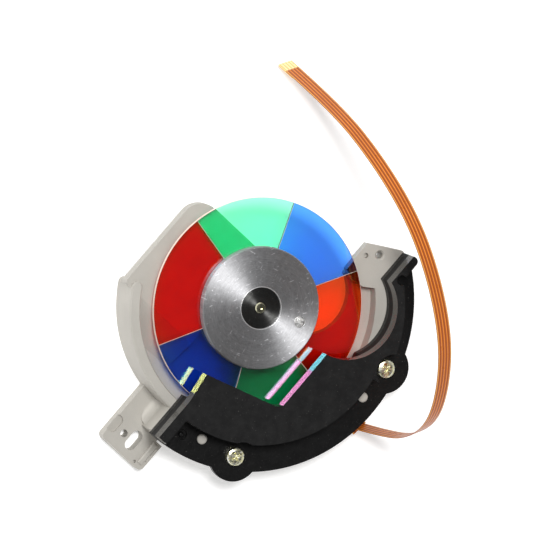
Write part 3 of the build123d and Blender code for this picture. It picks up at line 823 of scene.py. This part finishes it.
def moulding_material(name, colour):
    """Black moulding: matte leathery faces, and smoother walls where the tool slid out, which are also
    painted paler as a sheen; pale dust specks are made stronger on the flange as painted glints.
    """
    material, g, shader = new_material(name)
    place = g.place()
    out = use_group(g, GROUPS["skin"], {"Vector": place, "Colour": tuple(colour), "Grain": 9000.0,
                                        "Depth": 1.5e-5, "Blotch": 0.35, "Roughness": 0.62})
    height = g.split(place)[2]
    facing = g.split(g.add("ShaderNodeNewGeometry").outputs["Normal"])[2]
    wall = g.ramp(g.math("ABSOLUTE", facing), 0.2, 0.5, 1.0, 0.0)
    slick_and_sheen = g.math("MULTIPLY", wall, g.ramp(height, *WALLS_START))
    flange = g.ramp(height, *FLANGE_TOP, 1.0, 0.0)
    # pale specks: dust on the faces, made stronger on the flange as painted glints
    specks = g.ramp(g.noise(place, 2600.0, 2.0, 0.8), 0.69, 0.76)
    cloud = g.ramp(g.noise(place, 420.0, 4.0, 0.7), 0.40, 0.66, 0.0, 0.5)
    cloudy = g.mix(cloud, out["Colour"], (0.014, 0.014, 0.014))
    dust_and_glints = g.math("MULTIPLY", specks, g.ramp(flange, 0.0, 1.0, 0.35, 0.8))
    dusty_and_glinting = g.mix(dust_and_glints, cloudy, (0.30, 0.29, 0.27))
    # painted sheen: the smooth walls get a paler colour than the faces
    pale = g.mix(slick_and_sheen, dusty_and_glinting, (0.022, 0.022, 0.021))
    tone = g.mix(g.math("MULTIPLY", flange, 0.5), pale, (0.004, 0.004, 0.004))
    g.feed(shader.inputs["Base Color"], tone)
    shader.inputs["Specular IOR Level"].default_value = 0.2
    g.feed(shader.inputs["Coat Weight"], g.math("MULTIPLY", slick_and_sheen, 0.6))
    shader.inputs["Coat Roughness"].default_value = 0.1
    smoother = g.math("ADD", g.math("MULTIPLY", slick_and_sheen, 0.34), g.math("MULTIPLY", flange, 0.24))
    g.feed(shader.inputs["Roughness"], g.math("SUBTRACT", out["Roughness"], smoother))
    pebbles = g.noise(place, 1100.0, 3.0, 0.65)
    depth = g.math("MULTIPLY", g.ramp(flange, 0.0, 1.0, 0.25, 0.9), g.math("SUBTRACT", 1.0, slick_and_sheen))
    leather = g.add("ShaderNodeBump", {"Strength": depth, "Distance": 1.4e-4, "Height": pebbles,
                                       "Normal": out["Normal"]})
    g.feed(shader.inputs["Normal"], leather.outputs["Normal"])
    return material


class COLORWHEEL_OT_castings(bpy.types.Operator):
    """Finishes the bracket and the black cover"""

    bl_idname = "colorwheel.castings"
    bl_label = "Bracket And Cover"

    def execute(self, context):
        settings = looks("casting")
        dress(node("bracket"), casting_material("Blasted casting", settings.metal))
        dress(node("cover"), moulding_material("Black moulding", settings.plastic))
        return {"FINISHED"}


# Screws

SHANK_RADIUS = 1.0 * MM
MOTOR_HEAD_RADIUS = 2.0 * MM
MOTOR_HEAD_HEIGHT = 1.2 * MM

# straight side of a head as a share of its height, and each step of its dome: rise and narrowing
HEAD_SIDE = 0.6
DOME_STEPS = ((0.16, 0.965), (0.12, 0.92), (0.08, 0.82), (0.04, 0.7))

# width of a thread's root as a share of its crest's
THREAD_ROOT = 0.82


def dome_head(height):
    """The dome of a pan head, raised step by step from a cylinder's top."""
    head = bpy.context.object
    top = max(head.data.polygons, key=lambda face: face.center.z + face.normal.z).index
    select_faces(head, lambda face: face.index == top)
    for rise, shrink in DOME_STEPS:
        bpy.ops.mesh.extrude_region_move(TRANSFORM_OT_translate={"value": (0.0, 0.0, height * rise)})
        bpy.ops.transform.resize(value=(shrink, shrink, 1.0))
    bpy.ops.object.mode_set(mode="OBJECT")


def cross_cutter(width, slot, depth, level):
    """A tapered cross that sinks the driver's recess."""
    blades = []
    for turn in (0.0, math.pi / 2):
        deselect_all()
        bpy.ops.mesh.primitive_cube_add(size=1.0, location=(0.0, 0.0, level - depth / 4))
        blade = bpy.context.object
        blade.scale = (width, slot, depth * 1.5)
        bake_place(blade)
        low = min(blade.data.polygons, key=lambda face: face.center.z).index
        select_faces(blade, lambda face, low=low: face.index == low)
        bpy.ops.transform.resize(value=(0.42, 0.7, 1.0))
        bpy.ops.object.mode_set(mode="OBJECT")
        blade.rotation_euler.z = turn
        bake_place(blade)
        blades.append(blade)
    return blades


def threaded_shank(radius, pitch, length):
    """A shank of alternating roots and crests below the head."""
    deselect_all()
    bpy.ops.mesh.primitive_circle_add(vertices=20, radius=radius, fill_type="NGON",
                                      location=(0.0, 0.0, 0.0))
    shank = bpy.context.object
    bpy.ops.object.mode_set(mode="EDIT")
    bpy.ops.mesh.select_mode(type="FACE")
    bpy.ops.mesh.select_all(action="SELECT")
    turns = int(length / pitch)
    point = (length - turns * pitch) * 0.9
    for _ in range(turns):
        for size in (THREAD_ROOT, 1.0 / THREAD_ROOT):
            bpy.ops.mesh.extrude_region_move(TRANSFORM_OT_translate={"value": (0.0, 0.0, -pitch / 2)})
            bpy.ops.transform.resize(value=(size, size, 1.0))
    bpy.ops.mesh.extrude_region_move(TRANSFORM_OT_translate={"value": (0.0, 0.0, -point)})
    bpy.ops.transform.resize(value=(0.7, 0.7, 1.0))
    bpy.ops.mesh.select_all(action="SELECT")
    bpy.ops.mesh.normals_make_consistent(inside=False)
    bpy.ops.object.mode_set(mode="OBJECT")
    return shank


def pan_screw(name, cad, radius, height, pitch, turn, downward=False):
    """A pan-head screw with a cross recess, in the place of a CAD node."""
    low, high = (Vector(corner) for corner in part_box(cad))
    length = high.z - low.z - height
    deselect_all()
    side = height * HEAD_SIDE
    bpy.ops.mesh.primitive_cylinder_add(vertices=40, radius=radius, depth=side,
                                        location=(0.0, 0.0, side / 2))
    head = bpy.context.object
    head.name = name
    bake_place(head)
    dome_head(height)
    for blade in cross_cutter(width=radius * 1.25, slot=radius * 0.27, depth=height * 0.62, level=height):
        activate(head)
        cut = head.modifiers.new("recess", "BOOLEAN")
        cut.operation = "DIFFERENCE"
        cut.object = blade
        bpy.ops.object.modifier_apply(modifier=cut.name)
        bpy.data.objects.remove(blade)
    activate(head)
    soften = head.modifiers.new("soften", "BEVEL")
    soften.width = radius * 0.025
    soften.segments = 2
    soften.angle_limit = math.radians(35.0)
    bpy.ops.object.modifier_apply(modifier=soften.name)
    shank = threaded_shank(SHANK_RADIUS, pitch, length)
    activate(head)
    shank.select_set(True)
    bpy.ops.object.join()
    head = bpy.context.object
    middle = (low + high) / 2
    seat = low.z + height if downward else high.z - height
    head.rotation_euler = (math.pi if downward else 0.0, 0.0, turn)
    head.location = (middle.x, middle.y, seat)
    bake_place(head)
    smooth(head, 28.0)
    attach(head, "frame")
    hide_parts(cad)
    return head


def zinc_material(name, colour):
    """Yellow zinc plate with a fine bright crystal and worn spots."""
    material, g, shader = new_material(name)
    place = g.place()
    cells = g.add("ShaderNodeTexVoronoi", {"Vector": place, "Scale": 2600.0}, feature="F1")
    crystal = g.split(cells.outputs["Color"])[0]
    worn = g.noise(place, 1500.0, 3.0, 0.6)
    tone = g.mix(g.ramp(worn, 0.42, 0.62), tuple(colour), (0.80, 0.80, 0.76))
    value = g.ramp(crystal, 0.0, 1.0, 0.75, 1.2)
    hsv = g.add("ShaderNodeHueSaturation", {"Value": value, "Color": tone})
    g.feed(shader.inputs["Base Color"], hsv.outputs["Color"])
    g.feed(shader.inputs["Roughness"], g.ramp(crystal, 0.0, 1.0, 0.18, 0.42))
    g.feed(shader.inputs["Normal"], g.bump(cells.outputs["Distance"], 0.5, 1.5e-5))
    shader.inputs["Metallic"].default_value = 1.0
    return material


class COLORWHEEL_OT_screws(bpy.types.Operator):
    """Makes the two cover screws and the three motor screws"""

    bl_idname = "colorwheel.screws"
    bl_label = "Screws"

    def execute(self, context):
        settings = looks("casting")
        zinc = zinc_material("Yellow zinc", settings.zinc)
        for side, turn in (("left", 0.35), ("right", 0.9)):
            screw = pan_screw("zinc_screw_" + side, "cover_screw_" + side, settings.head_radius,
                              settings.head_height, settings.thread_pitch, turn)
            dress(screw, zinc)
        steel = skin_material("Bright steel", (0.72, 0.72, 0.72), 1.0, 0.3, 3000.0, 5e-6, 0.1)
        for i, turn in enumerate((0.2, 1.0, 0.6), start=1):
            screw = pan_screw("plate_screw_%d" % i, "motor_screw_%d" % i, MOTOR_HEAD_RADIUS,
                              MOTOR_HEAD_HEIGHT, settings.thread_pitch, turn, downward=True)
            dress(screw, steel)
        return {"FINISHED"}


# Motor


class COLORWHEEL_OT_motor(bpy.types.Operator):
    """Finishes the motor's plate, board, bearing, core and windings"""

    bl_idname = "colorwheel.motor"
    bl_label = "Motor"

    def execute(self, context):
        for name, material in (
            ("motor_plate", skin_material("Plated sheet", (0.62, 0.62, 0.60), 1.0, 0.35, 3000.0, 5e-6, 0.08)),
            ("motor_board", skin_material("Board", (0.03, 0.16, 0.07), 0.0, 0.35, 3000.0, 5e-6, 0.1)),
            ("bearing_holder", turned_material("Turned brass", (0.75, 0.56, 0.28), 0.25, 0.0001, 0.3, 0.5)),
            ("sleeve_bearing", skin_material("Sintered", (0.4, 0.25, 0.12), 0.8, 0.5, 9000.0, 2e-5, 0.3)),
            ("thrust_pad", skin_material("Nylon", (0.8, 0.8, 0.75), 0.0, 0.5, 3000.0, 1e-5, 0.05)),
            ("stator_core", skin_material("Core", (0.3, 0.3, 0.32), 0.9, 0.45, 3000.0, 1e-5, 0.1)),
        ):
            dress(node(name), material)
        copper = skin_material("Copper wire", (0.62, 0.26, 0.1), 1.0, 0.32, 5000.0, 2e-5, 0.2)
        for i in range(1, 10):
            dress(node("coil_%d" % i), copper)
        return {"FINISHED"}


# Panel and registration


class COLORWHEEL_PT_panel(bpy.types.Panel):
    """Lists the steps that dress the color wheel"""

    bl_idname = "COLORWHEEL_PT_panel"
    bl_label = "Color Wheel"
    bl_space_type = "VIEW_3D"
    bl_region_type = "UI"
    bl_category = "Color Wheel"

    def draw(self, context):
        for step in STEPS:
            self.layout.operator(step.bl_idname)


STEPS = (
    COLORWHEEL_OT_stage,
    COLORWHEEL_OT_flex_tail,
    COLORWHEEL_OT_wheel,
    COLORWHEEL_OT_castings,
    COLORWHEEL_OT_screws,
    COLORWHEEL_OT_motor,
)
GROUP_TYPES = {"wheel": WheelLooks, "casting": CastingLooks, "flex": FlexLooks, "stage": StageLooks}


def register():
    """Registers the classes and puts the settings on the scene."""
    for kind in (*GROUP_TYPES.values(), *STEPS, COLORWHEEL_PT_panel):
        bpy.utils.register_class(kind)
    for name, kind in GROUP_TYPES.items():
        setattr(bpy.types.Scene, "color_wheel_" + name, bpy.props.PointerProperty(type=kind))


def unregister():
    """Takes the settings off the scene and the classes out."""
    for name in GROUP_TYPES:
        delattr(bpy.types.Scene, "color_wheel_" + name)
    for kind in (COLORWHEEL_PT_panel, *reversed(STEPS), *reversed(tuple(GROUP_TYPES.values()))):
        bpy.utils.unregister_class(kind)


def main():
    """Dresses the whole color wheel."""
    register()
    GROUPS["skin"] = blasted_skin()
    GROUPS["turned"] = turned_marks()
    bpy.ops.colorwheel.stage()
    bpy.ops.colorwheel.flex_tail()
    bpy.ops.colorwheel.wheel()
    bpy.ops.colorwheel.castings()
    bpy.ops.colorwheel.screws()
    bpy.ops.colorwheel.motor()


if __name__ == "__main__":
    main()
